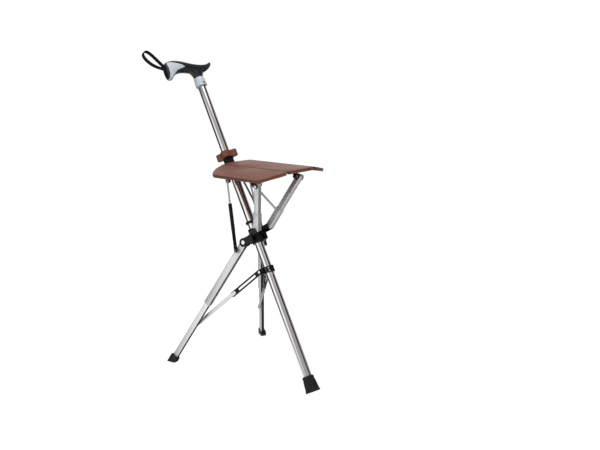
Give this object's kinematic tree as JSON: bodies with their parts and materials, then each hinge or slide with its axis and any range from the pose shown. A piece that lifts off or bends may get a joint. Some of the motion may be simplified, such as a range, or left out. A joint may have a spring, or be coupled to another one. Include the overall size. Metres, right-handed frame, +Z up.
{
  "type": "walking stick seat",
  "caption": "Cane with a T handle and a sliding runner that opens a three-panel folding seat on two jointed rear legs; the stick is the third leg.",
  "frame": {"origin": "on the floor, under the middle of the opened seat's bounding box", "axes": "+Z up, +X from the handle towards the stick's rubber foot, the stick's plane is Y = 0"},
  "size_m": [0.5268, 0.3242, 0.8029],
  "materials": {
    "polished_aluminium": "polished drawn tube",
    "plated_steel": "zinc plated",
    "rivet_steel": "bright domed heads",
    "black_nylon": "fine moulded texture",
    "black_rubber": "moulded, satin",
    "grey_handle": "satin moulded",
    "brown_panel": "moulded leather grain",
    "webbing": "woven nylon"
  },
  "bodies": {
    "stick": {"pole_tube": "polished_aluminium", "rubber_foot": "black_rubber", "handle_grip": "black_rubber", "handle_nose_cap": "grey_handle", "handle_collar": "grey_handle", "handle_screw": "rivet_steel", "wrist_strap": "webbing"},
    "runner": {"runner_yoke": "black_nylon", "star_knob": "brown_panel", "seat_hinge_pins": "rivet_steel", "strut_pins": "rivet_steel", "stay_pin": "rivet_steel"},
    "hub": {"hub": "black_nylon", "hub_rivets": "rivet_steel"},
    "ring": {"brace_ring": "black_nylon", "ring_rivets": "rivet_steel"},
    "seat_centre": {"seat_panel_centre": "brown_panel", "seam_hinge_pins": "rivet_steel"},
    "stop_button": {"stop_button": "rivet_steel"},
    "side_left": {"seat_panel_left": "brown_panel", "leg_bracket_left": "black_nylon"},
    "bracket_yoke_left": {"bracket_yoke_left": "black_nylon", "bracket_rivet_left": "rivet_steel"},
    "upper_tube_left": {"upper_leg_tube_left": "polished_aluminium"},
    "upper_sleeve_left": {"upper_leg_sleeve_left": "polished_aluminium"},
    "lower_channel_left": {"lower_leg_channel_left": "polished_aluminium"},
    "lower_inner_left": {"lower_leg_inner_left": "polished_aluminium", "lower_leg_foot_left": "black_rubber"},
    "brace_link_left": {"brace_link_left": "plated_steel"},
    "brace_bar_left": {"brace_bar_left": "plated_steel", "brace_rivet_left": "rivet_steel"},
    "strut_rod_left": {"strut_rod_left": "plated_steel"},
    "strut_sleeve_left": {"strut_sleeve_left": "black_nylon", "strut_slot_left": "plated_steel", "strut_rivet_left": "rivet_steel"},
    "stay_left": {"stay_left": "plated_steel"},
    "side_right": {"seat_panel_right": "brown_panel", "leg_bracket_right": "black_nylon"},
    "bracket_yoke_right": {"bracket_yoke_right": "black_nylon", "bracket_rivet_right": "rivet_steel"},
    "upper_tube_right": {"upper_leg_tube_right": "polished_aluminium"},
    "upper_sleeve_right": {"upper_leg_sleeve_right": "polished_aluminium"},
    "lower_channel_right": {"lower_leg_channel_right": "polished_aluminium"},
    "lower_inner_right": {"lower_leg_inner_right": "polished_aluminium", "lower_leg_foot_right": "black_rubber"},
    "brace_link_right": {"brace_link_right": "plated_steel"},
    "brace_bar_right": {"brace_bar_right": "plated_steel", "brace_rivet_right": "rivet_steel"},
    "strut_rod_right": {"strut_rod_right": "plated_steel"},
    "strut_sleeve_right": {"strut_sleeve_right": "black_nylon", "strut_slot_right": "plated_steel", "strut_rivet_right": "rivet_steel"},
    "stay_right": {"stay_right": "plated_steel"}
  },
  "joints": [
    {"name": "runner_slide", "type": "slide", "parent": "stick", "child": "runner", "axis": [-0.5446, 0, 0.8387], "range_m": [0, 0.186]},
    {"name": "hub_slide", "type": "slide", "parent": "stick", "child": "hub", "axis": [-0.5446, 0, 0.8387], "range_m": [0, 0.32]},
    {"name": "ring_slide", "type": "slide", "parent": "stick", "child": "ring", "axis": [-0.5446, 0, 0.8387], "range_m": [0, 0.137]},
    {"name": "seat_fold", "type": "hinge", "parent": "runner", "child": "seat_centre", "pos_m": [-0.04102, 0, 0.51199], "axis": [0, 1, 0], "range_deg": [0, 63]},
    {"name": "side_fold_left", "type": "hinge", "parent": "seat_centre", "child": "side_left", "pos_m": [-0.05963, 0.04, 0.52702], "axis": [-0.9945, 0, -0.1045], "range_deg": [0, 71]},
    {"name": "yoke_swivel_left", "type": "hinge", "parent": "side_left", "child": "bracket_yoke_left", "pos_m": [0.10572, 0.065, 0.51323], "axis": [0.9945, 0, 0.1045], "range_deg": [0, 91.22]},
    {"name": "upper_leg_left", "type": "hinge", "parent": "bracket_yoke_left", "child": "upper_tube_left", "pos_m": [0.10572, 0.065, 0.51323], "axis": [-0.0361, -0.9383, 0.3438], "range_deg": [0, 118.64]},
    {"name": "upper_sleeve_left", "type": "slide", "parent": "upper_tube_left", "child": "upper_sleeve_left", "axis": [0.3905, 0.3034, 0.8691], "range_m": [0, 0.05]},
    {"name": "lower_leg_left", "type": "hinge", "parent": "hub", "child": "lower_channel_left", "pos_m": [0.00544, 0.026, 0.33946], "axis": [-0.3079, -0.9302, -0.1999], "range_deg": [0, 59.15]},
    {"name": "lower_inner_left", "type": "slide", "parent": "lower_channel_left", "child": "lower_inner_left", "axis": [0.3905, -0.3152, 0.865], "range_m": [0, 0.166]},
    {"name": "brace_left", "type": "hinge", "parent": "ring", "child": "brace_link_left", "pos_m": [0.04953, 0.015, 0.26973], "axis": [0.3079, 0.9302, 0.1999], "range_deg": [0, 102.35]},
    {"name": "brace_bar_left", "type": "slide", "parent": "brace_link_left", "child": "brace_bar_left", "axis": [0.6319, -0.357, 0.688], "range_m": [0, 0.08191]},
    {"name": "strut_left", "type": "hinge", "parent": "runner", "child": "strut_rod_left", "pos_m": [-0.05602, 0.0342, 0.48735], "axis": [-0.2838, -0.9453, -0.161], "range_deg": [0, 13.29]},
    {"name": "strut_sleeve_left", "type": "slide", "parent": "strut_rod_left", "child": "strut_sleeve_left", "axis": [-0.2912, -0.075, 0.9537], "range_m": [0, 0.039]},
    {"name": "stay_left", "type": "hinge", "parent": "runner", "child": "stay_left", "pos_m": [-0.05349, 0.0031, 0.51283], "axis": [-0.3809, 0.8728, -0.3053], "range_deg": [0, 18.19]},
    {"name": "side_fold_right", "type": "hinge", "parent": "seat_centre", "child": "side_right", "pos_m": [-0.05963, -0.04, 0.52702], "axis": [0.9945, 0, 0.1045], "range_deg": [0, 71]},
    {"name": "yoke_swivel_right", "type": "hinge", "parent": "side_right", "child": "bracket_yoke_right", "pos_m": [0.10572, -0.065, 0.51323], "axis": [-0.9945, 0, -0.1045], "range_deg": [0, 91.22]},
    {"name": "upper_leg_right", "type": "hinge", "parent": "bracket_yoke_right", "child": "upper_tube_right", "pos_m": [0.10572, -0.065, 0.51323], "axis": [0.0361, -0.9383, -0.3438], "range_deg": [0, 118.64]},
    {"name": "upper_sleeve_right", "type": "slide", "parent": "upper_tube_right", "child": "upper_sleeve_right", "axis": [0.3905, -0.3034, 0.8691], "range_m": [0, 0.05]},
    {"name": "lower_leg_right", "type": "hinge", "parent": "hub", "child": "lower_channel_right", "pos_m": [0.00544, -0.026, 0.33946], "axis": [0.3079, -0.9302, 0.1999], "range_deg": [0, 59.15]},
    {"name": "lower_inner_right", "type": "slide", "parent": "lower_channel_right", "child": "lower_inner_right", "axis": [0.3905, 0.3152, 0.865], "range_m": [0, 0.166]},
    {"name": "brace_right", "type": "hinge", "parent": "ring", "child": "brace_link_right", "pos_m": [0.04953, -0.015, 0.26973], "axis": [-0.3079, 0.9302, -0.1999], "range_deg": [0, 102.35]},
    {"name": "brace_bar_right", "type": "slide", "parent": "brace_link_right", "child": "brace_bar_right", "axis": [0.6319, 0.357, 0.688], "range_m": [0, 0.08191]},
    {"name": "strut_right", "type": "hinge", "parent": "runner", "child": "strut_rod_right", "pos_m": [-0.05602, -0.0342, 0.48735], "axis": [0.2838, -0.9453, 0.161], "range_deg": [0, 13.29]},
    {"name": "strut_sleeve_right", "type": "slide", "parent": "strut_rod_right", "child": "strut_sleeve_right", "axis": [-0.2912, 0.075, 0.9537], "range_m": [0, 0.039]},
    {"name": "stay_right", "type": "hinge", "parent": "runner", "child": "stay_right", "pos_m": [-0.05349, -0.0031, 0.51283], "axis": [0.3809, 0.8728, 0.3053], "range_deg": [0, 18.19]},
    {"name": "stop_button_press", "type": "slide", "parent": "stick", "child": "stop_button", "axis": [-0.8387, 0, -0.5446], "range_m": [0, 0.0025], "stiffness_N_per_m": 400}
  ],
  "couplings": [
    {"joint": "hub_slide", "follows": "runner_slide", "ratio": 1.7204},
    {"joint": "ring_slide", "follows": "runner_slide", "ratio": 0.73655},
    {"joint": "seat_fold", "follows": "runner_slide", "rad_per_m": 5.9115},
    {"joint": "side_fold_left", "follows": "runner_slide", "rad_per_m": 6.6622},
    {"joint": "yoke_swivel_left", "follows": "runner_slide", "rad_per_m": 8.56},
    {"joint": "upper_leg_left", "follows": "runner_slide", "rad_per_m": 11.132},
    {"joint": "upper_sleeve_left", "follows": "runner_slide", "ratio": 0.26882},
    {"joint": "lower_leg_left", "follows": "runner_slide", "rad_per_m": 5.5507},
    {"joint": "lower_inner_left", "follows": "runner_slide", "ratio": 0.89246},
    {"joint": "brace_left", "follows": "runner_slide", "rad_per_m": 9.6044},
    {"joint": "brace_bar_left", "follows": "runner_slide", "ratio": 0.44037},
    {"joint": "strut_left", "follows": "runner_slide", "rad_per_m": 1.2469},
    {"joint": "strut_sleeve_left", "follows": "runner_slide", "ratio": 0.20968},
    {"joint": "stay_left", "follows": "runner_slide", "rad_per_m": 1.7071},
    {"joint": "side_fold_right", "follows": "runner_slide", "rad_per_m": 6.6622},
    {"joint": "yoke_swivel_right", "follows": "runner_slide", "rad_per_m": 8.56},
    {"joint": "upper_leg_right", "follows": "runner_slide", "rad_per_m": 11.132},
    {"joint": "upper_sleeve_right", "follows": "runner_slide", "ratio": 0.26882},
    {"joint": "lower_leg_right", "follows": "runner_slide", "rad_per_m": 5.5507},
    {"joint": "lower_inner_right", "follows": "runner_slide", "ratio": 0.89246},
    {"joint": "brace_right", "follows": "runner_slide", "rad_per_m": 9.6044},
    {"joint": "brace_bar_right", "follows": "runner_slide", "ratio": 0.44037},
    {"joint": "strut_right", "follows": "runner_slide", "rad_per_m": 1.2469},
    {"joint": "strut_sleeve_right", "follows": "runner_slide", "ratio": 0.20968},
    {"joint": "stay_right", "follows": "runner_slide", "rad_per_m": 1.7071}
  ]
}
